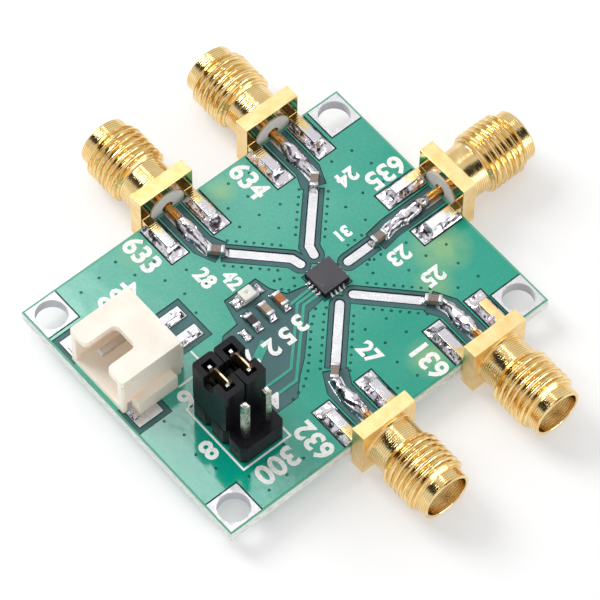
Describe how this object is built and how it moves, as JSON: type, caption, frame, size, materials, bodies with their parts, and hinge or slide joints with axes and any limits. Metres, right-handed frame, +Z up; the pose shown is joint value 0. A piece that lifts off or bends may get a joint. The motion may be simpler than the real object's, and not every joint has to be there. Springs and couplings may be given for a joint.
{
  "type": "rf switch module",
  "caption": "Small green circuit board with threaded coaxial jacks on its edges, a switch chip, a power socket and a pin header with jumper caps.",
  "frame": {"origin": "middle of the four corner holes, on the board's underside", "axes": "+Z up out of the board's component side, +X towards the common jack, +Y towards jacks 3 and 4"},
  "size_m": [0.0488, 0.0508, 0.0113],
  "materials": {
    "laminate": "coated glass-epoxy laminate",
    "coated_copper": "glossy green coating over copper",
    "tin": "tinned copper",
    "print": "white print",
    "moulding_black": "black moulding compound",
    "ceramic": "sintered ceramic",
    "ceramic_orange": "sintered ceramic",
    "ceramic_beige": "sintered ceramic",
    "lamp_lens": "clear resin over white",
    "lamp_base": "white laminate",
    "gold": "gold plated brass",
    "fluoropolymer": "white fluoropolymer",
    "nylon": "natural nylon",
    "clip": "plated bronze strip"
  },
  "bodies": {
    "board": {"circuit_board": "laminate", "ground_plane_top": "coated_copper", "ground_plane_bottom": "coated_copper", "control_tracks": "coated_copper", "corner_pads": "tin", "leg_pads": "tin", "signal_strips": "tin", "launch_pads": "tin", "component_pads": "tin", "silkscreen": "print", "switch_chip": "moulding_black", "chip_terminals": "tin", "blocking_capacitor_1": "ceramic", "blocking_capacitor_2": "ceramic", "blocking_capacitor_3": "ceramic", "blocking_capacitor_4": "ceramic", "blocking_capacitor_5": "ceramic", "blocking_capacitor_ends": "tin", "supply_capacitor_1": "ceramic_orange", "supply_capacitor_2": "ceramic_beige", "supply_capacitor_ends": "tin", "lamp_resistor": "moulding_black", "lamp_resistor_ends": "tin", "status_lamp": "lamp_lens", "status_lamp_base": "lamp_base", "jack_shell_1": "gold", "jack_shell_2": "gold", "jack_shell_3": "gold", "jack_shell_4": "gold", "jack_shell_5": "gold", "jack_insulator_1": "fluoropolymer", "jack_insulator_2": "fluoropolymer", "jack_insulator_3": "fluoropolymer", "jack_insulator_4": "fluoropolymer", "jack_insulator_5": "fluoropolymer", "jack_contact_1": "gold", "jack_contact_2": "gold", "jack_contact_3": "gold", "jack_contact_4": "gold", "jack_contact_5": "gold", "power_socket_housing": "nylon", "power_contact_1": "tin", "power_contact_2": "tin", "power_anchor_1": "tin", "power_anchor_2": "tin", "header_base": "moulding_black", "header_pin_1": "tin", "header_pin_2": "tin", "header_pin_3": "tin", "header_pin_4": "tin", "header_pin_5": "tin", "header_pin_6": "tin"},
    "jumper_1": {"jumper_cap_1": "moulding_black", "jumper_clip_1": "clip"},
    "jumper_2": {"jumper_cap_2": "moulding_black", "jumper_clip_2": "clip"}
  },
  "joints": [
    {"name": "jumper_1_pull", "type": "slide", "parent": "board", "child": "jumper_1", "axis": [0, 0, 1], "range_m": [0, 0.0065]},
    {"name": "jumper_2_pull", "type": "slide", "parent": "board", "child": "jumper_2", "axis": [0, 0, 1], "range_m": [0, 0.0065]}
  ]
}
